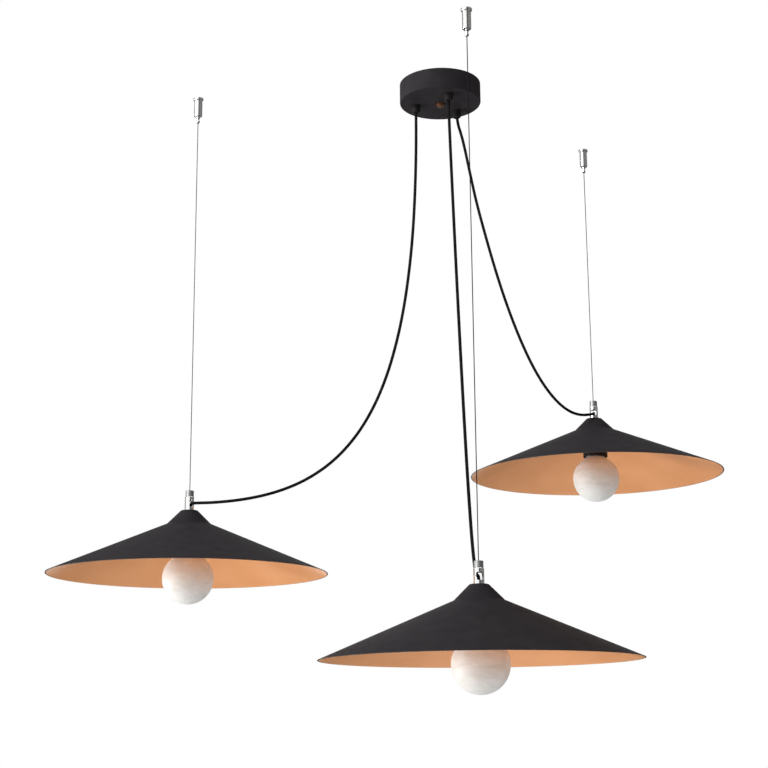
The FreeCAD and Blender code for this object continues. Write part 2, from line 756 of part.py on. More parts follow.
def holder_cap(lamp):
    """Black cap of the lampholder, screwed on the spigot."""
    bore, neck = "spigot_diameter / 2 + thread_clearance", "holder_neck_diameter / 2"
    outer = "holder_diameter / 2"
    inner = f"{outer} - holder_wall"
    flange = f"{inner} + thread_clearance"
    top = "-(shade_wall + shade_nut_height)"
    shelf = "insert_flange - holder_joint"
    body = spun(f"holder_cap_{lamp}", [
        (bore, top), (neck, top), (neck, "-holder_shoulder"),
        (f"{outer} - 3.5", "-holder_shoulder - 2"), (outer, "-holder_shoulder - 5.5"),
        (outer, "-holder_joint"), (flange, "-holder_joint"), (flange, shelf),
        ("insert_ledge", shelf), ("insert_ledge", "-holder_shoulder - 7"),
        ("insert_ledge - 3", "-holder_shoulder - 4.5"), (bore, "-holder_shoulder - 3"),
    ])
    place_at(body, lamp, f"-{lamp}_drop")
    return body


def holder_shell(lamp):
    """Plain black skirt of the lampholder. Its ledge clamps the insert against the cap."""
    outer = "holder_diameter / 2"
    inner = f"{outer} - holder_wall"
    ledge = "insert_diameter / 2 + 0.2"
    under = "-holder_joint - insert_flange"
    body = spun(f"holder_shell_{lamp}", [
        (ledge, "-holder_joint"), (outer, "-holder_joint"), (outer, "-holder_mouth"),
        (inner, "-holder_mouth"), (inner, under), (ledge, under),
    ])
    place_at(body, lamp, f"-{lamp}_drop")
    return body


def holder_insert(lamp):
    """Heat-proof insert with the screw socket."""
    flange = "holder_diameter / 2 - holder_wall - thread_clearance"
    shelf = "insert_flange - holder_joint"
    body = spun(f"holder_insert_{lamp}", [
        ("0", "-insert_top"), ("insert_ledge - 0.2", "-insert_top"), ("insert_ledge - 0.2", shelf),
        (flange, shelf), (flange, "-holder_joint"), ("insert_diameter / 2", "-holder_joint"),
        ("insert_diameter / 2", "-insert_end"), ("insert_bore / 2", "-insert_end"),
        ("insert_bore / 2", "-contact_depth"), ("0", "-contact_depth"),
    ])
    place_at(body, lamp, f"-{lamp}_drop")
    return body


def bulb_globe(lamp):
    """Opal glass globe, blown with its neck as one wall."""
    body = doc.addObject("PartDesign::Body", f"bulb_globe_{lamp}")
    sketch = sketch_on(body, "XZ_Plane", body.Label + "_outline")
    ball, wall = size("bulb_diameter") / 2, size("bulb_wall")
    curve, neck = size("bulb_neck_curve"), size("bulb_neck_diameter") / 2
    holder = size("holder_diameter") / 2
    middle = -size("holder_mouth") - size("globe_clearance") - math.sqrt(ball**2 - holder**2)
    hip = middle + math.sqrt((ball + curve) ** 2 - (neck + curve) ** 2)
    lean = math.atan2(hip - middle, neck + curve)
    top, up = -size("bulb_neck_top"), Vector(0, 0, 1)
    centre, side = Vector(0, middle, 0), Vector(neck + curve, hip, 0)

    def ball_arc(radius):
        return Part.ArcOfCircle(Part.Circle(centre, up, radius), -math.pi / 2, lean)

    def neck_arc(radius):
        return Part.ArcOfCircle(Part.Circle(side, up, radius), math.pi, math.pi + lean)

    outer_neck = Part.LineSegment(Vector(neck, top, 0), Vector(neck, hip, 0))
    inner_neck = Part.LineSegment(Vector(neck - wall, top, 0), Vector(neck - wall, hip, 0))
    lip = Part.LineSegment(Vector(neck - wall, top, 0), Vector(neck, top, 0))
    pole = Part.LineSegment(Vector(0, middle - ball, 0), Vector(0, middle - ball + wall, 0))
    for shape in (
        outer_neck, neck_arc(curve), ball_arc(ball), pole,
        ball_arc(ball - wall), neck_arc(curve + wall), inner_neck, lip,
    ):
        sketch.addGeometry(shape, False)
    # outer neck, outer curve, outer ball, pole, inner ball, inner curve, inner neck, lip: 0 to 7
    for kind, a, end_a, b, end_b in (
        ("Tangent", 0, 2, 1, 1), ("Tangent", 1, 2, 2, 2), ("Coincident", 2, 1, 3, 1),
        ("Coincident", 3, 2, 4, 1), ("Tangent", 4, 2, 5, 2), ("Tangent", 5, 1, 6, 2),
        ("Coincident", 6, 1, 7, 1), ("Coincident", 7, 2, 0, 1), ("Coincident", 4, 3, 2, 3),
        ("Coincident", 5, 3, 1, 3),
    ):
        sketch.addConstraint(Sketcher.Constraint(kind, a, end_a, b, end_b))
    sketch.addConstraint(Sketcher.Constraint("PointOnObject", 2, 3, -2))
    sketch.addConstraint(Sketcher.Constraint("PointOnObject", 3, 1, -2))
    sketch.addConstraint(Sketcher.Constraint("PointOnObject", 3, 2, -2))
    sketch.addConstraint(Sketcher.Constraint("Vertical", 0))
    sketch.addConstraint(Sketcher.Constraint("Horizontal", 7))
    tie(sketch, "DistanceY", (-1, 1, 2, 3), f"-{GLOBE_DEPTH}", middle)
    tie(sketch, "Radius", (2,), "bulb_diameter / 2", ball)
    tie(sketch, "Radius", (4,), "bulb_diameter / 2 - bulb_wall", ball - wall)
    tie(sketch, "Radius", (1,), "bulb_neck_curve", curve)
    tie(sketch, "DistanceX", (-1, 1, 0, 1), "bulb_neck_diameter / 2", neck)
    tie(sketch, "DistanceY", (-1, 1, 0, 1), "-bulb_neck_top", top)
    blown = body.newObject("PartDesign::Revolution", body.Label + "_blown")
    blown.Profile = sketch
    blown.ReferenceAxis = (sketch, ["V_Axis"])
    blown.Angle = 360
    place_at(body, lamp, f"-{lamp}_drop")
    return body


def bulb_cap(lamp):
    """Nickel-plated screw cap, with its centre contact, cemented on the glass neck."""
    tip, outer = "bulb_tip_diameter / 2", "bulb_cap_diameter / 2"
    inner = f"{outer} - bulb_cap_wall"
    under_tip = "-bulb_tip - bulb_tip_height"
    body = spun(f"bulb_cap_{lamp}", [
        ("0", "-bulb_tip"), (tip, "-bulb_tip"), (tip, under_tip),
        (outer, "-bulb_tip - bulb_cap_cone"), (outer, "-bulb_cap_end"), (inner, "-bulb_cap_end"),
        (inner, "-bulb_cap_floor"), ("0", "-bulb_cap_floor"),
    ])
    place_at(body, lamp, f"-{lamp}_drop")
    return body


def bulb_core(lamp):
    """Post and light board inside the globe, on the cap's floor."""
    post, board = "core_diameter / 2", "light_board_diameter / 2"
    top, end = "-bulb_cap_floor - nose_clearance", f"core_short_of_centre - {GLOBE_DEPTH}"
    low = f"{end} - light_board_thick"
    body = spun(f"bulb_core_{lamp}", [
        ("0", top), (post, top), (post, end), (board, end), (board, low), ("0", low),
    ])
    place_at(body, lamp, f"-{lamp}_drop")
    return body


nodes = [
    ceiling_bracket(), centre_stud(), canopy_cover(), centre_nut(), grip_lock_nuts(),
    terminal_block(), terminal_screws(), inner_leads(), anchor_bases(), nose_springs(),
]
for lamp in LAMPS:
    nodes += [
        cord_grip(lamp), power_cord(lamp), anchor_barrel(lamp), release_nose(lamp),
        steel_cable(lamp), cable_ferrule(lamp), suspension_cap(lamp), suspension_tube(lamp),
        shade(lamp), shade_nut(lamp), holder_cap(lamp), holder_shell(lamp), holder_insert(lamp),
        bulb_core(lamp), bulb_globe(lamp), bulb_cap(lamp),
    ]
doc.recompute()

for obj in doc.Objects:
    if "Invalid" in obj.State or "Error" in obj.State:
        raise RuntimeError(f"{obj.Label} did not build: {obj.State}")
for node in nodes:
    if node.Shape.isNull() or not node.Shape.isValid() or not node.Shape.Solids:
        raise RuntimeError(f"{node.Label} has no valid solid")

os.makedirs("parts", exist_ok=True)
for node in nodes:
    node.Shape.exportStep(f"parts/{node.Label}.step")
print(len(nodes), "sub-parts written")
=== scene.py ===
import math

import bmesh
import bpy
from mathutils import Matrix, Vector


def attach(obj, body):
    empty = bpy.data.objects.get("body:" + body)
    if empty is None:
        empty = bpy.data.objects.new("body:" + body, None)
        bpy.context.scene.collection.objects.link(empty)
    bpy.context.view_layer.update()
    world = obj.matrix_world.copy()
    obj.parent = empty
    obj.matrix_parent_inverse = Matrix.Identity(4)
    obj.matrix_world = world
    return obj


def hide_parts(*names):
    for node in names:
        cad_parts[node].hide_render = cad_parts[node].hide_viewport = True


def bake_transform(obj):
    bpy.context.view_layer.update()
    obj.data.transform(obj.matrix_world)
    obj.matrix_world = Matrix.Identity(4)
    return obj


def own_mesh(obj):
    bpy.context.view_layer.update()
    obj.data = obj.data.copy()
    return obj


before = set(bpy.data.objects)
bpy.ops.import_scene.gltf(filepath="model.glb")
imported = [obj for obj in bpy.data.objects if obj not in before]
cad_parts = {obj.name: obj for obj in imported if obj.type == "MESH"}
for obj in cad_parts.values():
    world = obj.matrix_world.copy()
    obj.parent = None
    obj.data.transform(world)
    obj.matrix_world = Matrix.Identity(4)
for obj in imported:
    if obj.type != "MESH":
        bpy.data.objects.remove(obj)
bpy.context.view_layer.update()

# The ceiling strap and the stud welded into it. Both are zinc-plated steel, hidden by the cover,
# and the CAD pieces stay as they are under a cold, faintly cloudy plating.


def finish(name, dark, light, roughness, metallic=0.0, cloud=60.0, grain=0.0, grain_size=0.001, index=1.5):
    """A surface whose colour drifts a little between two tones, over a fine raised grain."""
    material = bpy.data.materials.new(name)
    material.use_nodes = True
    nodes, links = material.node_tree.nodes, material.node_tree.links
    shader = nodes["Principled BSDF"]
    shader.inputs["Roughness"].default_value = roughness
    shader.inputs["Metallic"].default_value = metallic
    shader.inputs["IOR"].default_value = index
    place = nodes.new("ShaderNodeTexCoord")
    drift = nodes.new("ShaderNodeTexNoise")
    drift.inputs["Scale"].default_value = cloud
    drift.inputs["Detail"].default_value = 3.0
    tone = nodes.new("ShaderNodeValToRGB")
    tone.color_ramp.elements[0].position = 0.3
    tone.color_ramp.elements[0].color = (*dark, 1)
    tone.color_ramp.elements[1].position = 0.7
    tone.color_ramp.elements[1].color = (*light, 1)
    links.new(place.outputs["Object"], drift.inputs["Vector"])
    links.new(drift.outputs["Fac"], tone.inputs["Fac"])
    links.new(tone.outputs["Color"], shader.inputs["Base Color"])
    if grain:
        tooth = nodes.new("ShaderNodeTexNoise")
        tooth.inputs["Scale"].default_value = 1 / grain_size
        tooth.inputs["Detail"].default_value = 2.0
        raised = nodes.new("ShaderNodeBump")
        raised.inputs["Strength"].default_value = 1.0
        raised.inputs["Distance"].default_value = grain
        links.new(place.outputs["Object"], tooth.inputs["Vector"])
        links.new(tooth.outputs["Fac"], raised.inputs["Height"])
        links.new(raised.outputs["Normal"], shader.inputs["Normal"])
    return material


def coat(node, material):
    """Gives a CAD piece its finish."""
    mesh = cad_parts[node].data
    mesh.materials.clear()
    mesh.materials.append(material)


zinc = finish("zinc_plating", (0.50, 0.51, 0.52), (0.62, 0.63, 0.63), 0.38, 1.0, 90, 0.00002, 0.0006)
coat("ceiling_bracket", zinc)
coat("centre_stud", zinc)

# The connector block under the strap, moulded in white nylon, with brass clamping screws. The two
# leads that come up from each cord are sleeved in grey plastic and end in its wire holes.

nylon = finish("white_nylon", (0.76, 0.75, 0.70), (0.84, 0.83, 0.79), 0.42, 0.0, 70, 0.00001, 0.0008)
brass = finish("turned_brass", (0.62, 0.46, 0.20), (0.74, 0.57, 0.28), 0.30, 1.0, 200)
sleeve = finish("lead_sleeve", (0.20, 0.20, 0.22), (0.27, 0.27, 0.29), 0.40, 0.0, 150)
coat("terminal_block", nylon)
coat("terminal_screws", brass)
coat("inner_leads", sleeve)

# The round cover against the ceiling, deep-drawn from sheet steel and powder-coated a fine matte
# black. Its lower edge is drawn over a small radius, and three holes take the grips' necks.

LAMPS = {
    "left": (-0.405, 0.047, -0.699),
    "front": (0.030, -0.266, -0.850),
    "right": (0.273, 0.288, -0.505),
}
GRIPS = {"left": math.radians(167), "front": math.radians(287), "right": math.radians(47)}
GRIP_REACH = 0.041


def eased(corners, steps=5):
    """A profile in mm with its corners rounded.

    A corner is (radius, height), or has its own rounding as a third number.
    """
    points = []
    count = len(corners)
    for i, corner in enumerate(corners):
        here = Vector(corner[:2])
        ease = corner[2] if len(corner) > 2 else 0
        if not ease:
            points.append(tuple(here))
            continue
        back = (Vector(corners[i - 1][:2]) - here).normalized()
        on = (Vector(corners[(i + 1) % count][:2]) - here).normalized()
        half = back.angle(on) / 2
        reach = ease / math.tan(half)
        middle = here + (back + on).normalized() * (ease / math.sin(half))
        first, last = here + back * reach - middle, here + on * reach - middle
        swing = first.angle_signed(last)
        for k in range(steps + 1):
            a = -swing * k / steps
            x = first.x * math.cos(a) - first.y * math.sin(a)
            y = first.x * math.sin(a) + first.y * math.cos(a)
            points.append((middle.x + x, middle.y + y))
    return points


def pick(piece, test):
    """Selects a piece's points by their place, in edit mode."""
    mesh = bmesh.from_edit_mesh(piece.data)
    for point in mesh.verts:
        point.select = test(point.co)
    mesh.select_flush_mode()
    bmesh.update_edit_mesh(piece.data)


def turned(name, profile, sides=96):
    """A closed piece drawn ring by ring about the Z axis. The profile is (radius, height) in mm."""
    rings = [(r / 1000, z / 1000) for r, z in profile]
    solid = [i for i, (r, z) in enumerate(rings) if r > 1e-7]
    first = solid[0]
    bpy.ops.object.select_all(action="DESELECT")
    radius, height = rings[first]
    bpy.ops.mesh.primitive_circle_add(vertices=sides, radius=radius, location=(0, 0, height))
    piece = bpy.context.object
    piece.name = piece.data.name = name
    bpy.ops.object.transform_apply(location=True, rotation=False, scale=False)
    bpy.ops.object.mode_set(mode="EDIT")
    bpy.ops.mesh.select_mode(type="VERT")
    bpy.ops.mesh.select_all(action="SELECT")

    def draw(start, end):
        (r0, z0), (r1, z1) = rings[start], rings[end]
        bpy.ops.mesh.extrude_region_move(TRANSFORM_OT_translate={"value": (0, 0, z1 - z0)})
        k = r1 / r0
        bpy.ops.transform.resize(value=(k, k, 1), center_override=(0, 0, z1))
        if r1 <= 1e-7:
            bpy.ops.mesh.merge(type="CENTER")

    def on_ring(i):
        r, z = rings[i]
        pick(piece, lambda p: abs(math.hypot(p.x, p.y) - r) < 1e-6 and abs(p.z - z) < 1e-6)

    for i in solid[1:]:
        draw(i - 1, i)
    if solid[-1] < len(rings) - 1:
        draw(solid[-1], solid[-1] + 1)
    elif first == 0:
        mesh = bmesh.from_edit_mesh(piece.data)
        for edge in mesh.edges:
            edge.select = edge.is_boundary
        bmesh.update_edit_mesh(piece.data)
        bpy.ops.mesh.select_mode(type="EDGE")
        bpy.ops.mesh.bridge_edge_loops()
        bpy.ops.mesh.select_mode(type="VERT")
    if first > 0:
        on_ring(first)
        draw(first, 0)
    bpy.ops.mesh.select_all(action="SELECT")
    bpy.ops.mesh.remove_doubles(threshold=1e-7)
    bpy.ops.mesh.normals_make_consistent(inside=False)
    bpy.ops.object.mode_set(mode="OBJECT")
    return piece


def apply(piece, kind, **settings):
    """Adds one modifier and applies it."""
    bpy.ops.object.select_all(action="DESELECT")
    piece.select_set(True)
    bpy.context.view_layer.objects.active = piece
    modifier = piece.modifiers.new(kind.lower(), kind)
    for key, value in settings.items():
        setattr(modifier, key, value)
    bpy.ops.object.modifier_apply(modifier=modifier.name)


def cut_away(piece, *cutters):
    """Cuts other solids out of a piece and clears them away."""
    for cutter in cutters:
        apply(piece, "BOOLEAN", operation="DIFFERENCE", object=cutter, solver="EXACT")
        bpy.data.objects.remove(cutter)


def smooth(piece):
    """Smooth shading in which broad faces keep their own direction beside small roundings."""
    bpy.ops.object.select_all(action="DESELECT")
    piece.select_set(True)
    bpy.context.view_layer.objects.active = piece
    bpy.ops.object.shade_smooth_by_angle(angle=math.radians(35))
    apply(piece, "WEIGHTED_NORMAL", keep_sharp=True, weight=80)


def paint(piece, *materials):
    """Gives a piece its finishes in the order of their slots."""
    piece.data.materials.clear()
    for material in materials:
        piece.data.materials.append(material)


def shift(piece, place, turn=0.0):
    """Turns a piece about the Z axis and moves it, with its place kept in its mesh."""
    bpy.ops.object.select_all(action="DESELECT")
    piece.select_set(True)
    bpy.context.view_layer.objects.active = piece
    piece.rotation_euler.z = turn
    piece.location = place
    bpy.ops.object.transform_apply(location=True, rotation=True, scale=False)


def copy_of(piece, name, place, turn=0.0):
    """A copy with a mesh of its own, turned and moved to its place."""
    other = piece.copy()
    other.data = piece.data.copy()
    other.name = other.data.name = name
    bpy.context.collection.objects.link(other)
    shift(other, place, turn)
    return other


def grip_place(lamp, height=0.0):
    """The place of a lamp's cord grip on the ring of three."""
    return (GRIP_REACH * math.cos(GRIPS[lamp]), GRIP_REACH * math.sin(GRIPS[lamp]), height)


COVER_FACE = -0.033
NECK_HOLE_RADIUS = 0.0041
NECK_HOLE_DEPTH = 0.01
powder = finish("powder_coat", (0.024, 0.0212, 0.0238), (0.031, 0.0275, 0.0305), 0.62, 0.0, 45,
                0.00006, 0.0009, 1.11)
cover = turned("canopy_shell", eased([
    (3.05, -33), (66.5, -33, 1.8), (66.5, 0, 0.3), (65.3, 0, 0.3), (65.3, -31.8, 0.8), (3.05, -31.8),
]), 160)
for lamp in LAMPS:
    bpy.ops.mesh.primitive_cylinder_add(
        vertices=40, radius=NECK_HOLE_RADIUS, depth=NECK_HOLE_DEPTH, location=grip_place(lamp, COVER_FACE))
    cut_away(cover, bpy.context.object)
smooth(cover)
paint(cover, powder)
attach(cover, "ceiling")
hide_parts("canopy_cover")

# The cap nut that holds the cover up on the stud: copper-plated steel gone brown, with a rounded
# crown and a small flat at its middle.

aged_copper = finish("aged_copper", (0.12, 0.042, 0.017), (0.24, 0.095, 0.04), 0.50, 0.6, 260,
                     0.00003, 0.0012)
crown = turned("cap_nut", eased([
    (0, -38.5), (4.4, -38.5, 1.0), (6.5, -36.7, 1.2), (6.5, -33, 0.4), (3.05, -33), (3.05, -37),
    (0, -37),
]), 48)
smooth(crown)
paint(crown, aged_copper)
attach(crown, "ceiling")
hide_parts("centre_nut")

# The three cord grips, moulded in black nylon. Each has a flange against the cover, a body that
# narrows towards the cord, and a flared mouth. A hexagon nut locks its neck inside the cover.

nylon_black = finish("black_nylon", (0.014, 0.013, 0.014), (0.020, 0.019, 0.020), 0.50, 0.0, 120,
                     0.00002, 0.0007, 1.2)
grip = turned("grip_pattern", eased([
    (2.5, -41.5), (3.6, -45.5, 0.5), (6.9, -45.5, 2.2), (7.4, -37, 0.3), (7.75, -36.4, 0.2),
    (7.75, -33, 0.3), (4, -33), (4, -24, 0.3), (2.5, -24),
]), 56)
smooth(grip)
paint(grip, nylon_black)
for lamp in LAMPS:
    one = copy_of(grip, f"cord_grip_body_{lamp}", grip_place(lamp))
    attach(one, "ceiling")
    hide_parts(f"cord_grip_{lamp}")
bpy.data.objects.remove(grip)
coat("grip_lock_nuts", nylon_black)

# The cable anchors on the ceiling. A plated base takes one screw, the plated barrel threads on it,
# and the nose that lets go of the cable stands out of the barrel's mouth as a ball on a neck.

NOSE_BALL_RADIUS = 3.25
NOSE_BALL_HEIGHT = -41.75
plating = finish("bright_plating", (0.90, 0.90, 0.895), (0.95, 0.95, 0.945), 0.10, 1.0, 160,
                 0.000004, 0.0006)
flange = turned("base_pattern", eased([
    (2, 0), (8.5, 0, 0.5), (8.5, -5, 2.2), (5, -5), (5, -10), (3.6, -10), (3.6, -7), (2, -7),
]), 72)
barrel = turned("barrel_pattern", eased([
    (5.05, -5), (6.3, -5, 0.2), (6.8, -5.8, 0.4), (6.8, -34, 2.3), (3.3, -34, 0.2), (3.3, -30.5),
    (4.3, -30.5), (4.3, -10.4), (5.05, -10.4),
]), 72)
ball = []
for degrees in range(-72, 49, 6):
    a = math.radians(degrees)
    ball.append((NOSE_BALL_RADIUS * math.cos(a), NOSE_BALL_HEIGHT + NOSE_BALL_RADIUS * math.sin(a)))
nose = turned("nose_pattern", eased([(0.9, -44.85)] + ball + [
    (2.2, -38.6, 0.3), (2.2, -37, 0.5), (3.25, -36, 0.5), (3.25, -30.45), (4.2, -30.45),
    (4.2, -28.45), (0.9, -28.45),
]), 56)
for pattern in (flange, barrel, nose):
    smooth(pattern)
    paint(pattern, plating)
for lamp, (x, y, drop) in LAMPS.items():
    base = copy_of(flange, f"anchor_flange_{lamp}", (x, y, 0))
    tube = copy_of(barrel, f"anchor_body_{lamp}", (x, y, 0))
    tip = copy_of(nose, f"anchor_nose_{lamp}", (x, y, 0))
    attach(base, "ceiling")
    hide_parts("anchor_bases")
    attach(tube, "ceiling")
    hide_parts(f"anchor_barrel_{lamp}")
    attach(tip, f"nose_{lamp}")
    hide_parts(f"release_nose_{lamp}")
for pattern in (flange, barrel, nose):
    bpy.data.objects.remove(pattern)

# One coil spring of plated wire stands in each barrel on top of the nose and pushes it down, its top end
# held by the base. It is drawn at rest; in use it shortens by the two millimetres the nose is pressed up.

SPRING_TOP = -0.01
SPRING_FOOT = -0.02845
WIRE_RADIUS = 0.000225
WIRE_ROOM = WIRE_RADIUS + 0.00002
COIL_RADIUS = 0.003875
SPRING_TURNS = 9
bpy.ops.object.select_all(action="DESELECT")
bpy.ops.mesh.primitive_circle_add(vertices=10, radius=WIRE_RADIUS, rotation=(math.radians(90), 0, 0),
                                  location=(COIL_RADIUS, 0, SPRING_FOOT + WIRE_ROOM))
coil = bpy.context.object
coil.name = "coil_pattern"
bpy.ops.object.transform_apply(location=True, rotation=True, scale=False)
pitch = (SPRING_TOP - SPRING_FOOT - 2 * WIRE_ROOM) / SPRING_TURNS
apply(coil, "SCREW", angle=math.tau, screw_offset=pitch, iterations=SPRING_TURNS, steps=24,
      render_steps=24, use_merge_vertices=False, use_smooth_shade=True)
bpy.ops.object.mode_set(mode="EDIT")
bpy.ops.mesh.select_all(action="SELECT")
bpy.ops.mesh.remove_doubles(threshold=1e-7)
for height in (SPRING_FOOT + WIRE_ROOM, SPRING_TOP - WIRE_ROOM):
    pick(coil, lambda p: abs(p.y) < 1e-7 and p.x > 0 and abs(p.z - height) < 2 * WIRE_RADIUS)
    bpy.ops.mesh.edge_face_add()
bpy.ops.mesh.select_all(action="SELECT")
bpy.ops.mesh.normals_make_consistent(inside=False)
bpy.ops.object.mode_set(mode="OBJECT")
paint(coil, zinc)
for lamp, (x, y, drop) in LAMPS.items():
    spring = copy_of(coil, f"anchor_spring_{lamp}", (x, y, 0))
    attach(spring, "ceiling")
    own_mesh(spring)
    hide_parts("nose_springs")
bpy.data.objects.remove(coil)

# The thin steel cables, each six strands laid round a core and pulled straight by its lamp. They run
# from inside the barrel to a swaged ferrule in the lamp's head. The front one is painted in a darker,
# duller copy of the same steel: painted shade, standing in for the shade it shows.

strand_steel = finish("strand_steel", (0.09, 0.09, 0.093), (0.15, 0.15, 0.155), 0.38, 1.0, 400)
# A darker, duller copy of the strand steel, for the front cable only: painted shade.
shaded_front_steel = finish("shaded_front_strand_steel", (0.012, 0.011, 0.012), (0.020, 0.018, 0.020), 0.42, 0.0,
                    400, index=1.05)
CABLE_TOP = -0.012
FERRULE_FOOT = 0.01995
CABLE_RADIUS = 0.00075
STRAND_LAY = 0.011
for lamp, (x, y, drop) in LAMPS.items():
    foot = drop + FERRULE_FOOT
    long = CABLE_TOP - foot
    turns = round(long / STRAND_LAY)
    bpy.ops.object.select_all(action="DESELECT")
    bpy.ops.mesh.primitive_circle_add(vertices=24, radius=CABLE_RADIUS, location=(0, 0, foot))
    cable = bpy.context.object
    cable.name = cable.data.name = f"cable_strands_{lamp}"
    bpy.ops.object.transform_apply(location=True, rotation=False, scale=False)
    bpy.ops.object.mode_set(mode="EDIT")
    for side, depth in ((0, 0.80), (1, 0.93), (3, 0.93)):
        pick(cable, lambda p: round(math.degrees(math.atan2(p.y, p.x)) / 15) % 4 == side)
        bpy.ops.transform.resize(value=(depth, depth, 1), center_override=(0, 0, foot))
    bpy.ops.object.mode_set(mode="OBJECT")
    apply(cable, "SCREW", angle=math.tau, screw_offset=long / turns, iterations=turns, steps=12,
          render_steps=12, use_merge_vertices=False, use_smooth_shade=True)
    bpy.ops.object.mode_set(mode="EDIT")
    bpy.ops.mesh.select_all(action="SELECT")
    bpy.ops.mesh.remove_doubles(threshold=1e-7)
    for height in (foot, CABLE_TOP):
        pick(cable, lambda p: abs(p.z - height) < 1e-6)
        bpy.ops.mesh.edge_face_add()
    bpy.ops.mesh.select_all(action="SELECT")
    bpy.ops.mesh.normals_make_consistent(inside=False)
    bpy.ops.object.mode_set(mode="OBJECT")
    shift(cable, (x, y, 0))
    # The front cable gets the darker copy: painted shade, not a different steel.
    paint(cable, shaded_front_steel if lamp == "front" else strand_steel)
    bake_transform(cable)
    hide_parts(f"steel_cable_{lamp}")
    coat(f"cable_ferrule_{lamp}", strand_steel)

# The three round cords, black flexible plastic over two cores. Each leaves its grip, hangs in a
# J under its own weight and turns up into the window of its lamp's head.

CORD_RADIUS = 0.0024
CORD_TOP = -0.018
CORD_ENTRY = 0.0115
# Points of each route in mm: away from its grip towards its lamp, over to the side, and up.
ROUTES = {
    "left": (
        (1, 0, -124), (3.5, 0, -188), (7.5, 0, -252), (14, 0, -315), (23, 0, -376.5),
        (35.5, 0, -435.5), (52, 0, -491.5), (74, 0, -543.5), (103, 0, -590), (139, 2, -628.5),
        (181.5, 5, -657), (227.5, 10, -675.5), (275.5, 15, -686), (323, 14, -689.5),
        (351.5, 8, -688.5),
    ),
    "front": (
        (9.7, 0, -123.5), (21.3, 0, -184.5), (33.4, 0, -247), (45.8, 0, -309.5), (58.7, 0, -371.5),
        (72, 0, -433), (85.8, 0, -494.5), (100.2, 0, -556), (115.5, 0, -617), (131.3, 0, -676),
        (147.5, 0, -729.5), (163.2, 0, -774), (178.7, 0, -807), (194, 0, -828), (210, 0, -837),
    ),
    "right": (
        (12.5, 0, -74), (22.5, 0, -104), (33.5, 0, -141), (47, 0, -183.5), (68.5, 0, -236.5),
        (92.7, 0, -292), (120.5, 0, -346.5), (152, 0, -397.5), (187, 0, -442.5), (225.5, 0, -477),
        (266.7, 0, -499), (309.5, 0, -506), (340, -11.5, -501),
    ),
}
FIRST_TURN = {"left": -0.062, "front": -0.064, "right": -0.0505}
RUN_DOWN = {"left": 0.017, "front": 0.017, "right": 0.019}
jacket = finish("cord_jacket", (0.010, 0.009, 0.010), (0.015, 0.014, 0.015), 0.45, 0.0, 200,
                0.00001, 0.0012, 1.04)
for lamp, (x, y, drop) in LAMPS.items():
    start, head = Vector(grip_place(lamp)), Vector((x, y, 0))
    outward = (head - start).normalized()
    aside = Vector((-outward.y, outward.x, 0))
    points = [start + Vector((0, 0, CORD_TOP)), start + Vector((0, 0, FIRST_TURN[lamp]))]
    for away, over, height in ROUTES[lamp]:
        up = Vector((0, 0, height / 1000))
        points.append(start + outward * away / 1000 + aside * over / 1000 + up)
    entry = drop + CORD_ENTRY
    points += [head + Vector((0, 0, entry)), head + Vector((0, 0, entry - RUN_DOWN[lamp]))]
    line = bpy.data.curves.new(f"cord_line_{lamp}", "CURVE")
    line.dimensions = "3D"
    spline = line.splines.new("NURBS")
    spline.points.add(len(points) - 1)
    for point, at in zip(spline.points, points):
        point.co = (*at, 1)
    spline.order_u = 3
    spline.use_endpoint_u = True
    line.resolution_u = 10
    cord = bpy.data.objects.new(f"cord_{lamp}", line)
    bpy.context.collection.objects.link(cord)
    bpy.context.view_layer.update()
    centre = bpy.data.meshes.new_from_object(cord)
    path = [tuple(p.co) for p in centre.vertices]
    long = sum(math.dist(a, b) for a, b in zip(path, path[1:]))
    line.bevel_depth = CORD_RADIUS
    line.bevel_resolution = 6
    line.use_fill_caps = True
    bpy.ops.object.select_all(action="DESELECT")
    cord.select_set(True)
    bpy.context.view_layer.objects.active = cord
    bpy.ops.object.convert(target="MESH")
    cord = bpy.context.object
    cord.data.name = f"cord_{lamp}"
    bpy.ops.object.shade_smooth_by_angle(angle=math.radians(40))
    paint(cord, jacket)
    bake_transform(cord)
    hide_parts(f"power_cord_{lamp}")

# The head of each lamp, turned from steel and plated. The cap screws into the tube and hangs on
# the cable's ferrule, and the cord goes in at one of the tube's two windows.

WINDOW_ANGLES = {"left": -45.0, "front": 94.5, "right": -98.0}
WINDOW_WIDTH = 0.0095
WINDOW_HEIGHT = 0.011
WINDOW_MIDDLE = 0.0105
WINDOW_CORNER = 0.0025
RIGHT_THROUGH = 0.03
satin = finish("satin_plating", (0.31, 0.307, 0.304), (0.35, 0.347, 0.344), 0.42, 0.6, 160,
               0.000006, 0.0005)
cap = turned("cap_pattern", eased([
    (0.85, 31.5), (6.6, 31.5, 0.9), (6.6, 22, 0.25), (5.7, 22), (5.7, 17.5), (2.4, 17.5), (2.4, 26),
    (0.85, 26),
]), 64)
smooth(cap)
paint(cap, satin)
tube = turned("tube_pattern", eased([
    (2.8, -13), (5, -13, 0.3), (5, 0), (7.5, 0, 0.3), (7.5, 21, 0.4), (6.6, 22, 0.2), (5.75, 22),
    (5.75, 3, 0.5), (2.8, 3),
]), 96)
bpy.ops.mesh.primitive_cube_add(size=1, location=(0, 0, WINDOW_MIDDLE))
window = bpy.context.object
window.dimensions = (WINDOW_WIDTH, RIGHT_THROUGH, WINDOW_HEIGHT)
bpy.ops.object.transform_apply(location=True, rotation=False, scale=True)
bpy.ops.object.mode_set(mode="EDIT")
corners = bmesh.from_edit_mesh(window.data)
for edge in corners.edges:
    edge.select = abs(edge.verts[0].co.y - edge.verts[1].co.y) > 0.02
bmesh.update_edit_mesh(window.data)
bpy.ops.mesh.bevel(offset=WINDOW_CORNER, segments=6)
bpy.ops.object.mode_set(mode="OBJECT")
cut_away(tube, window)
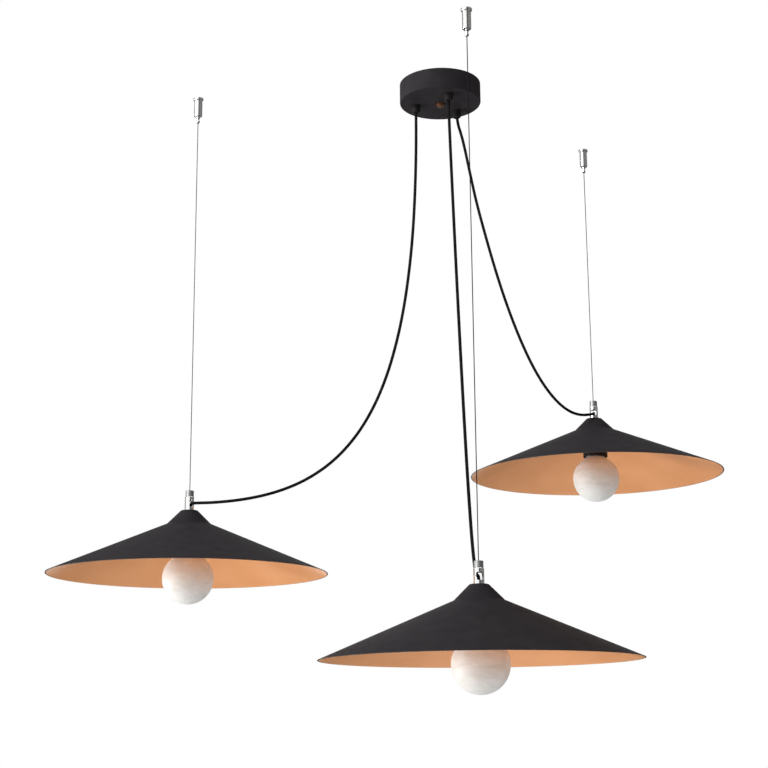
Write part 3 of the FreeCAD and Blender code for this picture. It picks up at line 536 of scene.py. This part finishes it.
apply(tube, "BEVEL", width=0.0002, segments=2, limit_method="ANGLE", angle_limit=math.radians(60))
smooth(tube)
paint(tube, plating)
for lamp, place in LAMPS.items():
    head = copy_of(cap, f"head_cap_{lamp}", place)
    body = copy_of(tube, f"head_tube_{lamp}", place, math.radians(WINDOW_ANGLES[lamp] - 90))
    for one, node in ((head, "suspension_cap"), (body, "suspension_tube")):
        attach(one, f"pendant_{lamp}")
        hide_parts(f"{node}_{lamp}")
bpy.data.objects.remove(cap)
bpy.data.objects.remove(tube)

# The wide shades, spun from sheet: a flat top, a steep upper cone, a soft knee and a shallow cone
# with its edge trimmed level. They are powder-coated black outside and satin copper inside.

RIM_HEIGHT = -0.1004
RIM_INSIDE, RIM_OUTSIDE = 0.2169, 0.2199
INSIDE_FROM, INSIDE_TO = 0.006, 0.2175
copper = finish("copper_lacquer", (0.86, 0.385, 0.165), (0.92, 0.435, 0.20), 0.30, 0.15, 14,
                0.000006, 0.0015, 1.45)
trim = finish("trimmed_edge", (0.020, 0.018, 0.020), (0.026, 0.023, 0.026), 0.35, 0.0, 90,
              0.00002, 0.0009, 1.5)
shade = turned("shade_pattern", eased([
    (5.1, 0), (13, 0, 4), (35, -22, 3), (219.9, -100.95, 0.3), (216.9, -100.95, 0.4), (34.3, -23, 3),
    (12.5, -1.2, 2.8), (5.1, -1.2),
], 8), 256)
smooth(shade)
paint(shade, powder, copper, trim)
for face in shade.data.polygons:
    middle, facing = face.center, face.normal
    reach = math.hypot(middle.x, middle.y)
    level = middle.z < RIM_HEIGHT and RIM_INSIDE < reach < RIM_OUTSIDE
    under = facing.z < -0.3 and INSIDE_FROM < reach < INSIDE_TO
    face.material_index = 2 if level else int(under)
for lamp, place in LAMPS.items():
    one = copy_of(shade, f"spun_shade_{lamp}", place)
    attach(one, f"pendant_{lamp}")
    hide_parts(f"shade_{lamp}")
    coat(f"shade_nut_{lamp}", zinc)
bpy.data.objects.remove(shade)

# The lampholders: a black moulded cap on the spigot and a plain skirt screwed to it. Between them
# they clamp the glazed insert with the screw socket.

holder_top = turned("holder_top_pattern", eased([
    (5.05, -5.2), (8, -5.2, 0.5), (8, -12.5, 0.8), (17.5, -14.5, 1.5), (21, -18, 1.5),
    (21, -29.8, 0.3), (19.05, -29.8), (19.05, -27), (17, -27), (17, -19.5), (14, -17), (5.05, -15.5),
]), 96)
skirt = turned("skirt_pattern", eased([
    (17.7, -30.2), (21, -30.2, 0.3), (21, -69.1, 0.7), (19, -69.1, 0.7), (19, -33), (17.7, -33),
]), 96)
for pattern in (holder_top, skirt):
    smooth(pattern)
    paint(pattern, nylon_black)
glaze = finish("glazed_ceramic", (0.78, 0.77, 0.72), (0.84, 0.83, 0.79), 0.22, 0.0, 90)
halves = ((holder_top, "holder_top", "holder_cap"), (skirt, "holder_skirt", "holder_shell"))
for lamp, place in LAMPS.items():
    for pattern, name, node in halves:
        one = copy_of(pattern, f"{name}_{lamp}", place)
        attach(one, f"pendant_{lamp}")
        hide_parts(f"{node}_{lamp}")
    coat(f"holder_insert_{lamp}", glaze)
bpy.data.objects.remove(holder_top)
bpy.data.objects.remove(skirt)

# The globe bulbs. The glass is opal white with faint cloudy bands like pale stone, drawn in to a
# neck that is cemented into a nickel-plated screw cap.


def opal_glass():
    """Opal glass that lets a little light in, its cloudy bands drawn out sideways and tilted."""
    material = finish("opal_glass", (0.695, 0.685, 0.65), (0.855, 0.85, 0.83), 0.50, 0.0, 22)
    nodes, links = material.node_tree.nodes, material.node_tree.links
    shader = nodes["Principled BSDF"]
    shader.inputs["Subsurface Weight"].default_value = 0.15
    shader.inputs["Subsurface Radius"].default_value = (0.012, 0.010, 0.008)
    place = next(n for n in nodes if n.type == "TEX_COORD")
    drift = next(n for n in nodes if n.type == "TEX_NOISE")
    stretch = nodes.new("ShaderNodeMapping")
    stretch.inputs["Rotation"].default_value = (0.25, 0.1, 0.0)
    stretch.inputs["Scale"].default_value = (1.0, 1.0, 3.2)
    links.new(place.outputs["Object"], stretch.inputs["Vector"])
    links.new(stretch.outputs["Vector"], drift.inputs["Vector"])
    drift.inputs["Detail"].default_value = 6.0
    drift.inputs["Roughness"].default_value = 0.6
    drift.inputs["Distortion"].default_value = 1.2
    return material


glass = opal_glass()
nickel = finish("nickel_plating", (0.55, 0.54, 0.50), (0.66, 0.65, 0.61), 0.28, 1.0, 220)
BALL, CURVE, NECK = 40.0, 20.0, 12.2
GLASS_MEETS_SKIRT = -73.1
SKIRT_RADIUS = 21
MIDDLE = GLASS_MEETS_SKIRT - math.sqrt(BALL**2 - SKIRT_RADIUS**2)
HIP = MIDDLE + math.sqrt((BALL + CURVE) ** 2 - (NECK + CURVE) ** 2)
LEAN = math.atan2(HIP - MIDDLE, NECK + CURVE)


def globe_side(wall):
    """One side of the glass from the lip of the neck to the bottom, at a depth in the wall."""
    side = [(NECK - wall, -50), (NECK - wall, HIP)]
    for k in range(1, 9):
        angle = math.pi + LEAN * k / 8
        reach = CURVE + wall
        side.append((NECK + CURVE + reach * math.cos(angle), HIP + reach * math.sin(angle)))
    for k in range(1, 65):
        angle = LEAN - (LEAN + math.pi / 2) * k / 64
        reach = BALL - wall
        across = max(0.0, reach * math.cos(angle)) if k < 64 else 0.0
        side.append((across, MIDDLE + reach * math.sin(angle)))
    return side


globe = turned("globe_pattern", globe_side(0)[::-1], 128)
smooth(globe)
paint(globe, glass)
THREAD_PITCH = 3.62
THREAD_TOP = -37
THREAD_LENGTH = 18
threads = []
for k in range(0, 61):
    z = THREAD_TOP - THREAD_LENGTH * k / 60
    wave = math.cos(math.tau * (z - THREAD_TOP) / THREAD_PITCH)
    threads.append((12.75 + 0.25 * wave, z))
screw_cap = turned("screw_cap_pattern", [
    (0, -30), (3.8, -30), (4.5, -30.6), (4.5, -32), (11.5, -35.2), (12.6, -36),
] + threads + [(12.9, -55.4), (12.9, -56), (12.3, -56), (12.3, -37.5), (0, -37.5)], 64)
smooth(screw_cap)
paint(screw_cap, nickel)
for lamp, place in LAMPS.items():
    one = copy_of(globe, f"globe_{lamp}", place)
    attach(one, f"bulb_{lamp}")
    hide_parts(f"bulb_globe_{lamp}")
    one = copy_of(screw_cap, f"screw_cap_{lamp}", place)
    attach(one, f"bulb_{lamp}")
    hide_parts(f"bulb_cap_{lamp}")
    coat(f"bulb_core_{lamp}", nylon)
bpy.data.objects.remove(globe)
bpy.data.objects.remove(screw_cap)

# The studio, none of it part of the lamp. A wide pale floor lies well below, and the camera sees it
# a little lifted, so that it stays pale. Only shiny surfaces see the cloth: a round wall of several
# greys with gaps that leave the white surround to be mirrored, and a dark card under the floor.

FLOOR_HEIGHT = -2.7
FLOOR_LIFT = 0.35
floor_paint = finish("floor_paint", (0.80, 0.80, 0.80), (0.82, 0.82, 0.82), 0.8, 0.0, 1.0)
floor_nodes = floor_paint.node_tree
floor_shader = floor_nodes.nodes["Principled BSDF"]
seen_floor = floor_nodes.nodes.new("ShaderNodeLightPath")
lift = floor_nodes.nodes.new("ShaderNodeMath")
lift.operation = "MULTIPLY"
lift.inputs[1].default_value = FLOOR_LIFT
floor_shader.inputs["Emission Color"].default_value = (1, 1, 1, 1)
floor_nodes.links.new(seen_floor.outputs["Is Camera Ray"], lift.inputs[0])
floor_nodes.links.new(lift.outputs["Value"], floor_shader.inputs["Emission Strength"])
bpy.ops.object.select_all(action="DESELECT")
bpy.ops.mesh.primitive_plane_add(size=40, location=(0, 0, FLOOR_HEIGHT))
floor = bpy.context.object
floor.name = "studio_floor"
paint(floor, floor_paint)
floor.visible_glossy = False

WALL_RADIUS = 2.36
WALL_FROM, WALL_TO = -94, 178
WALL_HEIGHTS = WALL_FOOT, WALL_LOW, WALL_SILL, WALL_WAIST, WALL_HEAD, WALL_TOP = (
    -2.68, -2.28, -1.15, -0.64, 0.75, 2.52)


def degrees_round(place):
    """The direction of a place from the lamp's axis, in degrees from +X."""
    return math.degrees(math.atan2(place.y, place.x))


bpy.ops.object.select_all(action="DESELECT")
bpy.ops.mesh.primitive_circle_add(vertices=72, radius=WALL_RADIUS, location=(0, 0, WALL_FOOT))
flag = bpy.context.object
flag.name = "studio_flag"
bpy.ops.object.transform_apply(location=True, rotation=False, scale=False)
bpy.ops.object.mode_set(mode="EDIT")
bpy.ops.mesh.select_mode(type="VERT")
pick(flag, lambda p: not WALL_FROM < degrees_round(p) < WALL_TO)
bpy.ops.mesh.delete(type="VERT")
for foot, top in zip(WALL_HEIGHTS, WALL_HEIGHTS[1:]):
    pick(flag, lambda p: abs(p.z - foot) < 0.01)
    bpy.ops.mesh.extrude_region_move(TRANSFORM_OT_translate={"value": (0, 0, top - foot)})
bpy.ops.mesh.select_mode(type="FACE")
wall = bmesh.from_edit_mesh(flag.data)
for face in wall.faces:
    middle = face.calc_center_median()
    around = degrees_round(middle)
    if middle.z < WALL_LOW:
        face.select = around > 109
    else:
        gap_from = 82 if middle.z < WALL_WAIST else 62
        face.select = WALL_SILL < middle.z < WALL_HEAD and gap_from < around < 114
bmesh.update_edit_mesh(flag.data)
bpy.ops.mesh.delete(type="FACE")
bpy.ops.object.mode_set(mode="OBJECT")
dark_paint = finish("flag_dark_cloth", (0.04, 0.039, 0.038), (0.05, 0.049, 0.047), 0.9, 0.0, 1.0)
edge_paint = finish("flag_edge_cloth", (0.06, 0.059, 0.058), (0.07, 0.069, 0.068), 0.9, 0.0, 1.0)
flag_paint = finish("flag_cloth", (0.18, 0.177, 0.175), (0.20, 0.197, 0.195), 0.9, 0.0, 1.0)
pale_paint = finish("flag_pale_cloth", (0.54, 0.535, 0.53), (0.57, 0.565, 0.56), 0.9, 0.0, 1.0)
paint(flag, dark_paint, edge_paint, flag_paint, pale_paint)
DARK, EDGE, GREY, PALE = range(4)
for face in flag.data.polygons:
    around = degrees_round(face.center)
    if face.center.z < WALL_WAIST:
        face.material_index = DARK
    elif around < -72 or 28 < around < 42:
        face.material_index = EDGE
    else:
        face.material_index = GREY if around < 92 else PALE
bpy.ops.object.select_all(action="DESELECT")
bpy.ops.mesh.primitive_plane_add(size=9, location=(0, 0, FLOOR_HEIGHT - 0.02))
ground_card = bpy.context.object
ground_card.name = "studio_ground_card"
paint(ground_card, dark_paint)
for card in (flag, ground_card):
    for ray in ("camera", "diffuse", "shadow", "transmission"):
        setattr(card, f"visible_{ray}", False)

# The white surround. The camera, mirrors and glass see it at full strength, and everything else is
# lit by it at a plain, lower level, with four soft lamps from the left and from below.

SURROUND_LEVEL = 0.45
world = bpy.data.worlds.new("studio")
bpy.context.scene.world = world
world.use_nodes = True
sky = world.node_tree
sky.nodes.clear()
rays = sky.nodes.new("ShaderNodeLightPath")
seen = sky.nodes.new("ShaderNodeMath")
seen.operation = "MAXIMUM"
bright = sky.nodes.new("ShaderNodeMath")
bright.operation = "MAXIMUM"
level = sky.nodes.new("ShaderNodeMix")
level.inputs[2].default_value = SURROUND_LEVEL
level.inputs[3].default_value = 1.0
back = sky.nodes.new("ShaderNodeBackground")
back.inputs["Color"].default_value = (1, 1, 1, 1)
out = sky.nodes.new("ShaderNodeOutputWorld")
sky.links.new(rays.outputs["Is Camera Ray"], seen.inputs[0])
sky.links.new(rays.outputs["Is Glossy Ray"], seen.inputs[1])
sky.links.new(seen.outputs["Value"], bright.inputs[0])
sky.links.new(rays.outputs["Is Transmission Ray"], bright.inputs[1])
sky.links.new(bright.outputs["Value"], level.inputs[0])
sky.links.new(level.outputs[0], back.inputs["Strength"])
sky.links.new(back.outputs["Background"], out.inputs["Surface"])

AIM = Vector((0, 0, -0.6))
for name, place, size, power in (
    ("side_lamp", (-5.2, -2.6, -1.4), 2.0, 88),
    ("back_left_lamp", (-3.8, 0.6, -2.0), 1.3, 87),
    ("low_lamp", (0.5, 0.2, -2.3), 2.4, 6),
    ("upper_left_lamp", (-3.5, -2.5, 1.0), 1.5, 120),
):
    bpy.ops.object.light_add(type="AREA", location=place)
    lamp_light = bpy.context.object
    lamp_light.name = name
    lamp_light.data.shape = "SQUARE"
    lamp_light.data.size = size
    lamp_light.data.energy = power
    lamp_light.rotation_euler = (AIM - lamp_light.location).to_track_quat("-Z", "Y").to_euler()

# The camera stands in front of the lamps, lower than all three, and looks up at them.

CAMERA_TILT = 13.38
CAMERA_ROLL = -0.45
bpy.ops.object.camera_add(location=(-0.0964, -2.3165, -1.0585),
                          rotation=(math.radians(90 + CAMERA_TILT), 0, 0))
camera = bpy.context.object
camera.rotation_euler.rotate_axis("Z", math.radians(CAMERA_ROLL))
camera.data.sensor_width = 36
camera.data.lens = 70.8
bpy.context.scene.camera = camera
bpy.context.scene.view_settings.view_transform = "Standard"
